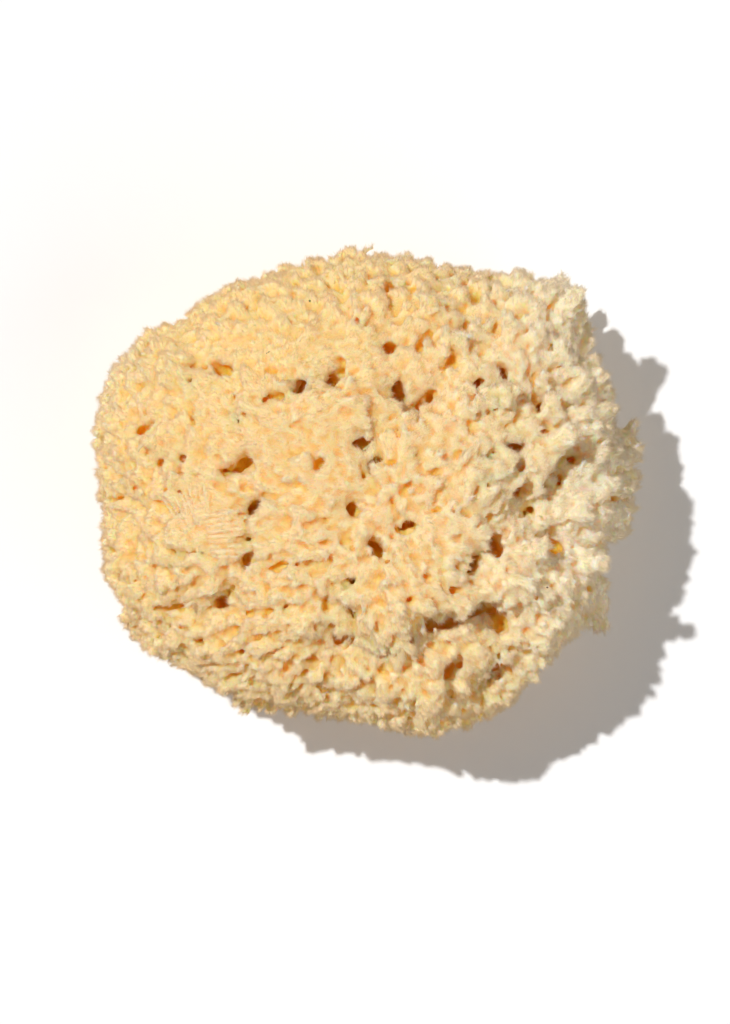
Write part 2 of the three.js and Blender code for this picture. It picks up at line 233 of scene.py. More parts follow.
# Canal mouths, creases and crevices: the line in pixels, its width in pixels and its depth in millimetres.
PITS = [
    ([(220, 375), (228, 375)], 9, 6), ([(178, 374), (205, 370), (238, 368)], 4, 2),
    ([(147, 387), (157, 387)], 6, 4), ([(144, 374), (156, 374)], 8, 1.5),
    ([(138, 434), (152, 430)], 12, 4), ([(160, 442), (170, 450)], 4, 5),
    ([(193, 419), (200, 419)], 6, 4), ([(228, 415), (244, 422)], 5, 5),
    ([(270, 374), (276, 374)], 9, 4), ([(241, 382), (241, 387)], 5, 3),
    ([(192, 384), (197, 384)], 5, 2.5), ([(258, 398), (297, 396)], 5, 3),
    ([(198, 331), (202, 334)], 20, 2), ([(213, 314), (223, 314)], 8, 1.5),
    ([(292, 286), (302, 286)], 5, 3), ([(311, 289), (321, 291)], 5, 3),
    ([(328, 294), (332, 296)], 7, 4), ([(280, 286), (315, 289), (348, 296)], 7, 1.5),
    ([(281, 303), (281, 314)], 5, 3), ([(389, 294), (393, 292)], 11, 3.5),
    ([(350, 316), (353, 325), (358, 330)], 4, 3), ([(394, 314), (394, 322)], 4, 3),
    ([(381, 351), (389, 351)], 11, 7), ([(306, 375), (297, 401)], 8, 8),
    ([(316, 388), (328, 380), (345, 387)], 8, 4), ([(338, 383), (344, 386)], 8, 6),
    ([(345, 363), (345, 377)], 8, 2), ([(395, 380), (395, 412)], 10, 9),
    ([(432, 392), (428, 404)], 14, 5), ([(428, 404), (415, 418)], 9, 4),
    ([(407, 421), (415, 419)], 12, 6), ([(453, 357), (452, 364)], 10, 6),
    ([(452, 364), (435, 372)], 4, 3), ([(440, 330), (415, 352)], 9, 2),
    ([(352, 442), (360, 438)], 12, 7), ([(395, 420), (397, 442)], 4, 3),
    ([(293, 427), (297, 427)], 5, 2.5), ([(461, 434), (470, 438)], 5, 3),
    ([(467, 344), (484, 335)], 10, 4), ([(470, 382), (474, 382)], 11, 6),
    ([(500, 368), (498, 379)], 11, 6), ([(498, 380), (508, 379)], 7, 5),
    ([(550, 330), (552, 342)], 8, 5), ([(552, 342), (541, 354)], 4, 5),
    ([(535, 412), (552, 396)], 9, 5), ([(572, 414), (583, 407)], 13, 4),
    ([(599, 426), (601, 430)], 12, 2.5), ([(540, 434), (541, 436)], 13, 1.5),
    ([(551, 437), (555, 437)], 6, 3), ([(467, 424), (490, 412), (500, 395)], 5, 2.5),
    ([(502, 446), (512, 445)], 13, 8), ([(512, 444), (527, 447)], 6, 5),
    ([(498, 452), (470, 462)], 5, 3), ([(565, 459), (575, 459)], 8, 4),
    ([(516, 484), (514, 490)], 8, 7), ([(560, 478), (558, 486)], 7, 4),
    ([(485, 487), (500, 470)], 6, 4), ([(535, 487), (530, 505), (522, 518)], 7, 5),
    ([(526, 512), (523, 516)], 10, 6), ([(482, 513), (484, 517)], 6, 5),
    ([(490, 540), (498, 555)], 10, 6), ([(552, 548), (558, 548)], 13, 6),
    ([(545, 525), (540, 540)], 5, 3), ([(466, 565), (470, 567)], 9, 8),
    ([(470, 570), (475, 585)], 9, 5), ([(451, 590), (453, 590)], 9, 7),
    ([(446, 568), (448, 570)], 6, 3), ([(423, 576), (426, 576)], 6, 3),
    ([(403, 598), (407, 598)], 6, 3), ([(186, 457), (188, 457)], 6, 6),
    ([(160, 464), (171, 461)], 11, 4), ([(201, 465), (205, 465)], 6, 3),
    ([(240, 463), (256, 459)], 7, 6), ([(221, 472), (244, 471)], 7, 5),
    ([(269, 478), (272, 478)], 6, 5), ([(172, 492), (185, 478), (200, 476)], 5, 2),
    ([(164, 504), (167, 507)], 5, 3), ([(116, 496), (121, 496)], 7, 2),
    ([(141, 482), (144, 484)], 5, 2),
    ([(272, 495), (255, 503), (247, 510), (250, 525), (240, 548), (243, 558), (248, 568), (243, 583)], 7, 5),
    ([(247, 508), (251, 511)], 7, 7), ([(245, 565), (247, 569)], 7, 7),
    ([(268, 568), (300, 563)], 5, 3), ([(150, 545), (178, 553), (205, 553)], 5, 3),
    ([(178, 553), (180, 545)], 4, 3), ([(121, 553), (125, 554)], 7, 3),
    ([(153, 561), (157, 561)], 4, 2), ([(141, 565), (145, 565)], 4, 2),
    ([(123, 574), (127, 577)], 7, 3), ([(155, 601), (186, 604)], 7, 4),
    ([(219, 601), (227, 601)], 9, 6), ([(224, 584), (227, 586)], 7, 3),
    ([(239, 586), (241, 589)], 7, 4), ([(175, 623), (185, 624)], 6, 4),
    ([(217, 622), (223, 622)], 7, 5), ([(370, 450), (373, 465)], 8, 9),
    ([(373, 465), (363, 482)], 5, 5), ([(316, 469), (324, 461)], 7, 6),
    ([(301, 482), (304, 484)], 5, 3), ([(275, 497), (296, 492)], 5, 3),
    ([(347, 504), (347, 516)], 8, 8), ([(306, 532), (310, 532)], 5, 3),
    ([(321, 517), (325, 517)], 5, 3), ([(387, 466), (395, 466)], 6, 3),
    ([(411, 453), (415, 453)], 5, 2.5), ([(412, 480), (400, 493)], 5, 3),
    ([(390, 499), (392, 501)], 5, 3), ([(394, 526), (407, 522), (420, 527)], 7, 5),
    ([(434, 510), (437, 510)], 6, 3), ([(365, 537), (375, 545), (386, 562)], 4, 6),
    ([(394, 558), (396, 563)], 5, 3), ([(348, 570), (357, 597), (355, 610)], 4, 6),
    ([(325, 599), (325, 607)], 6, 6), ([(325, 597), (337, 588)], 5, 4),
    ([(344, 613), (346, 617)], 6, 4), ([(314, 617), (318, 617)], 6, 4),
    ([(337, 638), (341, 638)], 12, 7), ([(420, 630), (445, 625), (468, 620), (480, 613), (497, 607)], 8, 7),
    ([(493, 613), (505, 628)], 15, 10), ([(362, 630), (380, 640), (410, 640)], 8, 7),
    ([(379, 649), (381, 652)], 10, 6), ([(421, 645), (425, 645)], 7, 5),
    ([(445, 661), (445, 673)], 10, 6), ([(395, 680), (399, 680)], 7, 4),
    ([(355, 665), (375, 680)], 6, 4), ([(500, 662), (480, 690), (470, 705)], 7, 5),
    ([(496, 663), (504, 661)], 10, 6), ([(514, 650), (537, 640)], 8, 5),
    ([(537, 624), (553, 616)], 8, 5), ([(556, 607), (558, 609)], 6, 4),
    ([(597, 499), (613, 495)], 7, 4), ([(610, 478), (614, 476)], 6, 3),
    ([(194, 637), (206, 637)], 6, 4), ([(235, 648), (247, 648)], 6, 4),
    ([(232, 667), (244, 667)], 6, 4), ([(262, 654), (274, 654)], 6, 4),
    ([(277, 646), (289, 646)], 6, 4), ([(301, 657), (313, 657)], 6, 4),
    ([(324, 668), (336, 668)], 6, 4), ([(314, 680), (326, 680)], 10, 2),
    ([(259, 703), (271, 703)], 10, 2),
]
PIT_BLEND = 0.8
PIT_LIP = 1.6  # how softly a pit's lip turns in
PIT_FLARE = 1.3  # width of the mouth over the width below it
PIT_NARROW = 0.4  # how much a crevice closes towards its ends
PIT_TAPER = 0.45
PIT_DEPTH = 0.42  # the share of the depth above that is cut, as wool fills the rest
PIT_WIDE = 0.75  # the width that is cut, as a share of the width above
PIT_REOPEN = 0.75  # how wide a deep pit is cut again through the locks of wool
PIT_REOPEN_DEPTH = 5.5  # what counts as deep
PIT_ABOVE = 4.0  # how far above the body a cut starts
PIT_WIDTHS = (0.85, 1.15)  # how far widths and depths vary along a crevice
PIT_DEPTHS = (0.8, 1.1)
PIT_STRAY = 0.12  # how far a shaft strays, as a share of half the width
PIT_FOOT, PIT_FOOT_WIDE = 0.25, 0.7  # where the mouth's flare ends and how wide it is there, in radii
PIT_SHAFT = 0.85  # radius of the shaft at the body
PIT_LEAST = 0.1
PIT_FEEL = 2.0  # the reach over which a pit feels which way is out
PIT_PITCH = 0.8  # between the shafts that make up a long crevice
PIT_UPRIGHT = 0.5  # how far a pit turns from square to the surface to straight down

# Canals that the cut went through, in rings about the middle: count, ring and radius.
CANAL_RINGS = [(5, 20.0, 3.2), (9, 37.0, 2.6)]
CANAL_DEPTH = 9.0
CANAL_STRETCH = 1.15  # the rings are as oval as the sponge
CANAL_TURN, CANAL_STRAY = 0.3, 0.4  # a ring's turn and a canal's stray, in shares of the canals' spacing
CANAL_START = -1.0
CANAL_BLEND = 1.0
CHANCE_STEP, CHANCE_START, CHANCE_SIZE = 12.9898, 7 * 78.233, 43758.5453
CHANCE_RING = 50  # sets the chances of one ring apart from the next ring's

# Fibres lie along the flow on the tips of the wool.
FIBRES = 190000
FIBRE_LENGTH = 1.7
FIBRE_LENGTHS = (0.5, 1.2)  # how far lengths and widths vary
FIBRE_WIDTH = 0.13
FIBRE_WIDTHS = (0.6, 1.3)
FIBRE_KEEL = 0.6  # how deep a fibre's keel is, in widths
FIBRE_SINK = 0.05
FIBRE_LIFT = 0.1
FIBRE_FLOOR = 0.1  # no tip goes lower than this
FIBRE_LEAN = (0.05, 0.6)
FIBRE_SPREAD = 0.4
FRINGE = 1.2  # how much longer fibres are at the pale rim
FRINGE_TINT = 0.75  # what counts as pale
FIBRE_LOWEST, FIBRE_UNDER = 2, -0.5  # no fibres lower, or where the surface faces down more than this
FIBRE_HOLLOW = 0.1  # nor deeper in a hollow
FIBRE_START, FIBRE_FALL = 1.5, 2.5  # how fibres thin out into the creases
FIBRE_CORNERS = 4
TIP_LIGHTER, FIBRE_PALER = 0.25, 0.2  # a tip's crease mark is lower, so its painted shade is lighter, and a fibre's tint is higher, so it gets more painted rim light
PILES = 4

# How hollows and creases are told, where shade is painted: by how full the space round a place is, over three
# reaches
BROAD, MIDDLE, FINE = 3.0, 1.4, 0.8
FULL_LIFT = 0.5  # how far outside the surface the wider two are felt
FULL_FLAT = 0.44  # about how full it is there over an even surface
HOLLOW_BROAD, HOLLOW_MIDDLE = 2.0, 1.0  # how strongly each counts towards a hollow
CREASE_FLAT, CREASE_GAIN = 0.85, 1.2  # about what the finer two add up to there, and how strongly they count

# Where the wool is paler (1), which is painted light coming through the fringe at the rim, or yellower (0) than
# its own colour (0.5), and where fine brown freckles show
TINT_ZONES = [
    ((630, 470), 40, 1.0, 0.0), ((610, 560), 45, 1.0, 0.1), ((580, 630), 45, 0.8, 0.2),
    ((600, 350), 45, 0.9, 0.1), ((560, 285), 35, 0.9, 0.0), ((470, 275), 45, 0.5, 0.0),
    ((370, 270), 50, 0.25, 0.1), ((270, 290), 55, 0.1, 0.1), ((180, 330), 50, 0.1, 0.1),
    ((110, 380), 30, 0.6, 0.0), ((100, 470), 35, 0.5, 0.0), ((140, 450), 40, 0.1, 0.2),
    ((120, 560), 45, 0.3, 0.3), ((210, 430), 50, 0.3, 0.4), ((215, 520), 40, 0.5, 0.3),
    ((300, 560), 60, 0.5, 1.0), ((320, 440), 60, 0.4, 0.9), ((420, 480), 60, 0.5, 0.9),
    ((500, 400), 60, 0.6, 0.5), ((520, 520), 60, 0.7, 0.5), ((380, 610), 55, 0.5, 0.9),
    ((470, 660), 50, 0.5, 0.6), ((250, 660), 60, 0.4, 0.5), ((400, 710), 50, 0.5, 0.3),
]

# Colours of the wool: from tips to creases, with painted shade that darkens and warms it into the creases;
# where it is pale, which is painted light at the rim, yellow or freckled; and amber painted shade from the
# mouth of a hollow down
WOOL_AND_CREASE_SHADE_STOPS = [
    (0.0, (0.97, 0.79, 0.52)),
    (0.4, (0.97, 0.74, 0.42)),
    (0.7, (0.96, 0.65, 0.26)),
    (1.0, (0.95, 0.56, 0.15)),
]
# Painted light: the pale colour of the rim zones, as if light came through the fringe
PAINTED_RIM_LIGHT, PAINTED_RIM_LIGHT_MOST = (0.97, 0.89, 0.74), 0.85
YELLOW_WOOL, YELLOW_MOST = (0.97, 0.73, 0.31), 0.5
OWN_TINT = 0.5
FRECKLE_BROWN, FRECKLE_MOST = (0.80, 0.42, 0.17), 0.4
FRECKLE_SCALE, FRECKLE_DETAIL = 1100, 3
FRECKLE_FROM, FRECKLE_TO = 0.56, 0.70
# Painted shade: amber that deepens from the mouth of a hollow down
HOLLOW_SHADE_STOPS = [
    (0.0, (0.97, 0.69, 0.28)),
    (0.5, (0.97, 0.67, 0.17)),
    (1.0, (0.95, 0.63, 0.10)),
]
HOLLOW_SHADE_FROM, HOLLOW_SHADE_TO = 0.15, 0.65
WOOL_ROUGHNESS = 0.95
WOOL_GLOSS = 0.1
WOOL_DEPTH = 0.005  # how far light goes into the wool, in metres, and how far each colour does
WOOL_DEPTHS = (1.4, 0.75, 0.25)
GRAIN_SCALE, GRAIN_DETAIL, GRAIN_ROUGHNESS = 1300, 5, 0.7
GRAIN_STRENGTH, GRAIN_HEIGHT = 0.9, 0.0005
PAINTED_FIBRE_LIGHT, PAINTED_FIBRE_LIGHT_SHARE = (1.0, 0.9, 0.7, 1), 0.3  # painted light: fibres are mixed paler than the wool below them, standing in for light scattered among them
FIBRE_THROUGH = 0.45  # the share of light that goes through a fibre

# Light: a key from the upper left and a low soft fill from the other side
KEY_FROM = (-14.3, 10.4, 31)
KEY_LIGHT = 2.8
KEY_ANGLE = 1.5
FILL_FROM = (24, -18, 11)
FILL_LIGHT = 1.05
FILL_ANGLE = 80
WORLD_LIGHT = 0.18
WORLD_COLOUR = (1, 1, 1, 1)
LIGHT_BOUNCES, WOOL_BOUNCES = 16, 10
FLOOR_COLOUR = (0.96, 0.96, 0.96, 1)
FLOOR_ROUGHNESS = 0.9
FLOOR_HALF = 3.0  # half the floor's side, in metres
CAMERA_FAR = 20

SOFTEN = 0.4  # rounds off what the pits left thin

# Fine unevenness of the body: size and height of each kind
RELIEF = [(2.2, 0.20), (1.1, 0.16)]


# Signed distances

class Field:
    """Distances in millimetres on a regular grid. Below zero is inside the sponge."""

    def __init__(self, low, step, values):
        self.low = np.asarray(low, float)
        self.step = step
        self.values = values

    def axes(self):
        return [self.low[a] + self.step * np.arange(n) for a, n in enumerate(self.values.shape)]

    def sample(self, points):
        place = (points - self.low) / self.step
        top = np.array(self.values.shape) - LAST_CELL
        place = np.clip(place, 0, top)
        cell = place.astype(int)
        share = place - cell
        total = np.zeros(len(points))
        for corner in np.ndindex(2, 2, 2):
            weight = np.prod(np.where(corner, share, 1 - share), axis=1)
            i, j, k = (cell + corner).T
            total += weight * self.values[i, j, k]
        return total

    def outward(self, points, reach=1.0):
        slope = np.stack(
            [self.sample(points + step) - self.sample(points - step) for step in reach * np.eye(3)], axis=1
        )
        return unit(slope)

    def window(self, low, high):
        size = np.array(self.values.shape)
        first = np.clip(np.floor((low - self.low) / self.step).astype(int), 0, size)
        last = np.clip(np.ceil((high - self.low) / self.step).astype(int) + 1, 0, size)
        part = tuple(slice(a, b) for a, b in zip(first, last))
        axes = [self.low[a] + self.step * np.arange(first[a], last[a]) for a in range(3)]
        x, y, z = (axis.astype(np.float32) for axis in axes)
        return part, (x[:, None, None], y[None, :, None], z[None, None, :])


def unit(vectors):
    return vectors / np.maximum(np.linalg.norm(vectors, axis=-1, keepdims=True), 1e-9)


def soft_union(a, b, blend):
    near = np.maximum(blend - np.abs(a - b), 0) / blend
    return np.minimum(a, b) - near * near * (blend / 4)


def soft_cut(a, b, blend):
    return -soft_union(-a, b, blend)


def stroke_distance(axes, start, end, start_radius, end_radius):
    """The distance to a tapered rod with round ends."""
    run = end - start
    gaps = [axis - np.float32(begin) for axis, begin in zip(axes, start)]
    along = sum(gap * np.float32(r) for gap, r in zip(gaps, run))
    share = np.clip(along / np.float32(max(run @ run, 1e-9)), 0, 1)
    square = sum((gap - share * np.float32(r)) ** 2 for gap, r in zip(gaps, run))
    return np.sqrt(square) - (np.float32(start_radius) + share * np.float32(end_radius - start_radius))


def stroke_window(field, start, end, radius, blend):
    room = radius + blend
    return field.window(np.minimum(start, end) - room, np.maximum(start, end) + room)


def join_stroke(field, path, radii, blend):
    for start, end, r0, r1 in zip(path[:-1], path[1:], radii[:-1], radii[1:]):
        part, axes = stroke_window(field, start, end, max(r0, r1), blend)
        rod = stroke_distance(axes, start, end, r0, r1)
        field.values[part] = soft_union(field.values[part], rod, blend)


def cut_stroke(field, start, end, r0, r1, blend):
    part, axes = stroke_window(field, start, end, max(r0, r1), blend)
    rod = stroke_distance(axes, start, end, r0, r1)
    field.values[part] = soft_cut(field.values[part], rod, blend)


def blurred(values, spread):
    """A Gaussian blur by a spread in voxels."""
    shape = values.shape
    spectrum = np.fft.rfftn(values.astype(np.float32))
    waves = [np.fft.fftfreq(shape[0]), np.fft.fftfreq(shape[1]), np.fft.rfftfreq(shape[2])]
    for axis, wave in enumerate(waves):
        fall = np.exp(-2 * (math.pi * spread * wave) ** 2)
        spectrum *= fall.reshape([-1 if a == axis else 1 for a in range(3)])
    return np.fft.irfftn(spectrum, shape).astype(np.float32)


def resampled(field, low, step, shape):
    """The same distances on another grid."""
    values = field.values
    for axis, count in enumerate(shape):
        place = (low[axis] + step * np.arange(count) - field.low[axis]) / field.step
        place = np.clip(place, 0, values.shape[axis] - LAST_CELL)
        cell = place.astype(int)
        share = (place - cell).reshape([-1 if a == axis else 1 for a in range(3)]).astype(np.float32)
        values = np.take(values, cell, axis) * (1 - share) + np.take(values, cell + 1, axis) * share
    return Field(low, step, values)


# Places on the sponge

class Upper:
    """The upper side of the smooth body, for finding what a pixel of the photograph shows."""

    def __init__(self, field):
        self.field = field
        z = field.axes()[2]
        inside = field.values < 0
        top = inside.shape[2] - 1 - np.argmax(inside[:, :, ::-1], axis=2)
        self.height = np.where(inside.any(axis=2), z[top], PIXEL_HEIGHT)

    def height_at(self, x, y):
        i = np.clip(np.rint((x - self.field.low[0]) / self.field.step).astype(int), 0, self.height.shape[0] - 1)
        j = np.clip(np.rint((y - self.field.low[1]) / self.field.step).astype(int), 0, self.height.shape[1] - 1)
        return self.height[i, j]

    def place(self, pixels):
        pixels = np.atleast_2d(np.asarray(pixels, float))
        z = np.full(len(pixels), PIXEL_HEIGHT)
        for _ in range(RAY_ROUNDS):
            size = PIXEL * (CAMERA_PLACE[2] - z) / (CAMERA_PLACE[2] - PIXEL_HEIGHT)
            x = CAMERA_PLACE[0] + (pixels[:, 0] - PHOTO_MIDDLE[0]) * size
            y = CAMERA_PLACE[1] - (pixels[:, 1] - PHOTO_MIDDLE[1]) * size
            z = 0.5 * z + 0.5 * self.height_at(x, y)
        points = np.stack([x, y, z], axis=1)
        for _ in range(SETTLE_ROUNDS):
            points[:, 2] += np.clip(-self.field.sample(points), -SETTLE_MOST, SETTLE_MOST)
        return points


def pixel_of(points):
    """The pixel at which the camera sees a point."""
    size = PIXEL * (CAMERA_PLACE[2] - points[:, 2]) / (CAMERA_PLACE[2] - PIXEL_HEIGHT)
    u = PHOTO_MIDDLE[0] + (points[:, 0] - CAMERA_PLACE[0]) / size
    v = PHOTO_MIDDLE[1] - (points[:, 1] - CAMERA_PLACE[1]) / size
    return np.stack([u, v], axis=1)


def zone_values(pixels, zones):
    """The values that some zones have at some pixels, blended between the zones."""
    places = np.array([zone[0] for zone in zones], float)
    reach = np.array([zone[1] for zone in zones], float)
    values = np.array([zone[2:] for zone in zones], float)
    gap = np.linalg.norm(pixels[:, None] - places[None], axis=2) / reach
    weight = np.exp(-0.5 * np.minimum(gap, ZONE_FAR) ** 2) + ZONE_FLOOR / (1 + gap)
    weight /= weight.sum(axis=1, keepdims=True)
    return (weight @ values).T


def flow_at(points):
    """The level direction that tufts point in: away from the middle, and along the fingers near them."""
    pixels = pixel_of(points)
    flow = unit(pixels - np.array(FLOW_MIDDLE)) * FLOW_OUT
    for line, _, _ in FINGERS:
        line = np.array(line, float)
        way = unit(line[-1] - line[0])
        reach = FLOW_SHARE * np.linalg.norm(line[-1] - line[0]) + FLOW_ROOM
        gap = np.linalg.norm(pixels - line.mean(axis=0), axis=1) / reach
        flow = flow + np.exp(-0.5 * gap ** 2)[:, None] * way
    flow = unit(flow)
    return np.stack([flow[:, 0], -flow[:, 1], np.zeros(len(flow))], axis=1)


# The body

def cad_field():
    """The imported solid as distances."""
    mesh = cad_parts["sponge"].data
    points = np.empty(len(mesh.vertices) * 3, np.float32)
    mesh.vertices.foreach_get("co", points)
    points = points.reshape(-1, 3) / MM
    triangles = mesh_triangles(mesh).astype(np.uint32)
    spacing = openvdb.createLinearTransform(voxelSize=COARSE_STEP)
    solid = openvdb.FloatGrid.createLevelSetFromPolygons(
        points, triangles=triangles, transform=spacing, halfWidth=BAND / COARSE_STEP
    )
    low = np.floor(points.min(axis=0) - MARGIN).astype(int)
    high = np.ceil(points.max(axis=0) + MARGIN).astype(int)
    values = np.empty(tuple(high - low + 1), np.float32)
    solid.copyToArray(values, ijk=tuple(int(i) for i in low))
    return Field(low * COARSE_STEP, COARSE_STEP, values)


def outline_trim(field):
    """How far the body is drawn in at each place of the plan."""
    x, y, _ = field.axes()
    right = (OUTLINE_MIDDLE[0] - PHOTO_MIDDLE[0]) * PIXEL
    up = (PHOTO_MIDDLE[1] - OUTLINE_MIDDLE[1]) * PIXEL
    middle = np.array([right, up]) + CAMERA_PLACE[:2]
    across_x, across_y = x[:, None] - middle[0], y[None, :] - middle[1]
    angles, trims = np.array(OUTLINE_TRIM, float).T
    trim = np.interp(np.degrees(np.arctan2(across_y, across_x)) % 360, angles, trims, period=360)
    share = np.clip(np.hypot(across_x, across_y) / OUTLINE_REACH - OUTLINE_START, 0, 1)
    return (trim * share)[:, :, None].astype(np.float32)


def smooth_body():
    """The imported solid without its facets, sunk to where the tufts root, and open below for the cut."""
    field = cad_field()
    keep = int(round((CUT_KEEP - field.low[2]) / COARSE_STEP))
    field.values[:, :, :keep] = field.values[:, :, keep:keep + 1]
    field.values = blurred(field.values, BODY_BLUR / COARSE_STEP) + np.float32(BODY_SINK)
    field.values[:, :, :CUT_LAYERS] = field.values[:, :, CUT_LAYERS:CUT_LAYERS + 1]
    field.values += outline_trim(field)
    shape = [int((n - 1) * COARSE_STEP / FINE_STEP) for n in field.values.shape]
    return resampled(field, field.low, FINE_STEP, shape)


def surface_places(smooth, rng):
    """Places for tufts, spread over the body so that each shows part of its length and all of its width."""
    near = np.argwhere(np.abs(smooth.values) < TUFT_NEAR * smooth.step)
    points = smooth.low + smooth.step * (near + rng.uniform(-0.5, 0.5, near.shape))
    points -= smooth.sample(points)[:, None] * smooth.outward(points)
    points = points[points[:, 2] > LOWEST_TUFT]
    points = points[rng.permutation(len(points))]
    width, length = zone_values(pixel_of(points), TUFT_ZONES)[:2]
    outward = smooth.outward(points)
    flow = flow_at(points)
    ahead = unit(flow - (flow * outward).sum(axis=1, keepdims=True) * outward)
    beside = np.cross(outward, ahead) / (TUFT_SPACING * width)[:, None]
    above = outward / width[:, None]
    ahead = ahead / (TUFT_STRIDE * length)[:, None]
    measure = np.stack([ahead, beside, above], axis=1)
    taken = {}
    chosen = []
    cells = np.floor(points / TUFT_CELL).astype(int)
    around = [np.array(step) - 1 for step in np.ndindex(3, 3, 3)]
    for index, (point, cell) in enumerate(zip(points, cells)):
        others = [spot for step in around for spot in taken.get(tuple(cell + step), ())]
        if others:
            gaps = (np.array(others) - point) @ measure[index].T
            if (gaps * gaps).sum(axis=1).min() < 1:
                continue
        taken.setdefault(tuple(cell), []).append(point)
        chosen.append(index)
    return points[chosen]


def fill_creases(field, smooth):
    """Raises the floor of the creases between tufts, more in the smoother zones."""
    x, y, _ = smooth.axes()
    places = np.stack(np.meshgrid(x, y, [PIXEL_HEIGHT], indexing="ij"), axis=-1).reshape(-1, 3)
    fill = zone_values(pixel_of(places), TUFT_ZONES)[3].reshape(len(x), len(y), 1).astype(np.float32)
    field.values = soft_union(field.values, smooth.values - fill, FILL_BLEND)


def off_fingers(pixels):
    """True where a place is clear of the fingers that are listed."""
    clear = np.ones(len(pixels), bool)
    for line, width, _ in FINGERS:
        line = np.array(line, float)
        for a, b in zip(line[:-1], line[1:]):
            run = b - a
            share = np.clip((pixels - a) @ run / (run @ run), 0, 1)
            clear &= np.linalg.norm(pixels - a - share[:, None] * run, axis=1) > FINGER_CLEAR * width
    return clear


def turned(flow, angle):
    """Level directions, each turned by its own angle."""
    c, s = np.cos(angle), np.sin(angle)
    return np.stack([flow[:, 0] * c - flow[:, 1] * s, flow[:, 0] * s + flow[:, 1] * c, flow[:, 2]], axis=1)


def add_tufts(field, smooth, rng):
    """Tufts all over, each rooted in the body and bent once."""
    roots = surface_places(smooth, rng)
    roots = roots[off_fingers(pixel_of(roots)) | (roots[:, 2] < PIXEL_HEIGHT)]
    outward = smooth.outward(roots)
    width, length, rise, _ = zone_values(pixel_of(roots), TUFT_ZONES)
    flow = turned(flow_at(roots), rng.normal(0, TUFT_SPREAD, len(roots)))
    radius = 0.5 * width * rng.uniform(*TUFT_WIDTHS, len(roots))
    length = length * rng.uniform(*TUFT_LENGTHS, len(roots))
    rise = rise * rng.uniform(*TUFT_RISES, len(roots))
    way = unit(flow + rise[:, None] * outward)
    climb = np.maximum((way * outward).sum(axis=1), TUFT_LEAST_RISE)
    length = np.minimum(length, (TUFT_STAND + TUFT_SINK * radius) / climb)
    bend = unit(way + TUFT_BEND * outward * rng.uniform(*TUFT_BENDS, len(roots))[:, None])
    starts = roots - (TUFT_SINK * radius)[:, None] * outward
    middles = starts + TUFT_INNER * length[:, None] * way
    tips = middles + TUFT_OUTER * length[:, None] * bend
    for path, r in zip(np.stack([starts, middles, tips], axis=1), radius):
        join_stroke(field, path, r * np.array([TUFT_ROOT, 1.0, TUFT_TAPER]), TUFT_BLEND)


def add_fingers(field, smooth, upper):
    """The fingers and ring lobes that are listed."""
    for line, width, rise in FINGERS:
        path = upper.place(line)
        outward = smooth.outward(path)
        share = np.linspace(0, 1, len(path))[:, None]
        radius = 0.5 * width * PIXEL
        path = path + outward * (rise * share + FINGER_RAISE * radius + FINGER_LIFT)
        join_stroke(field, path, radius * FINGER_SHAPE, FINGER_BLEND)
    for middle, ring, lip in RING_LOBES:
        turns = np.linspace(0, 2 * math.pi, RING_STOPS)
        line = np.array(middle) + ring * np.stack([np.cos(turns), np.sin(turns)], axis=1)
        path = upper.place(line)
        path = path + RING_LIFT * smooth.outward(path)
        join_stroke(field, path, np.full(len(path), 0.5 * lip * PIXEL), FINGER_BLEND)


def add_locks(field, smooth, rng):
    """Small locks of wool all over, each rooted in the surface and leaning with the flow."""
    near = np.argwhere(np.abs(field.values) < LOCK_NEAR * field.step)
    near = near[rng.permutation(len(near))]
    cells = np.floor(near * field.step / LOCK_SPACING).astype(int)
    near = near[np.unique(cells, axis=0, return_index=True)[1]]
    roots = field.low + field.step * (near + rng.uniform(-0.5, 0.5, near.shape))
    outward = field.outward(roots, LOCK_FEEL)
    shallow = smooth.sample(roots) > -LOCK_DEEPEST
    off_fan = np.linalg.norm((pixel_of(roots) - FAN_MIDDLE) / FAN_SIZE, axis=1) > 1
    keep = shallow & off_fan & (roots[:, 2] > LOWEST_TUFT) & (outward[:, 2] > LOCK_UNDER)
    roots, outward = roots[keep], outward[keep]
    fill = zone_values(pixel_of(roots), TUFT_ZONES)[3]
    stand = np.interp(fill, LOCK_FILL, (1.0, LOCK_FLAT))
    flow = turned(flow_at(roots), rng.normal(0, LOCK_SPREAD, len(roots)))
    way = unit(flow - (flow * outward).sum(axis=1, keepdims=True) * outward)
    way = unit(way + outward * (stand * rng.uniform(*LOCK_RISE, len(roots)))[:, None])
    radius = 0.5 * LOCK_WIDTH * rng.uniform(*LOCK_WIDTHS, len(roots))
    length = LOCK_LENGTH * rng.uniform(*LOCK_LENGTHS, len(roots))
    starts = roots - (LOCK_SINK + LOCK_SINK_FLAT * (1 - stand))[:, None] * radius[:, None] * outward
    tips = starts + length[:, None] * way
    for start, tip, r in zip(starts, tips, radius):
        join_stroke(field, [start, tip], [r, LOCK_TAPER * r], LOCK_BLEND)


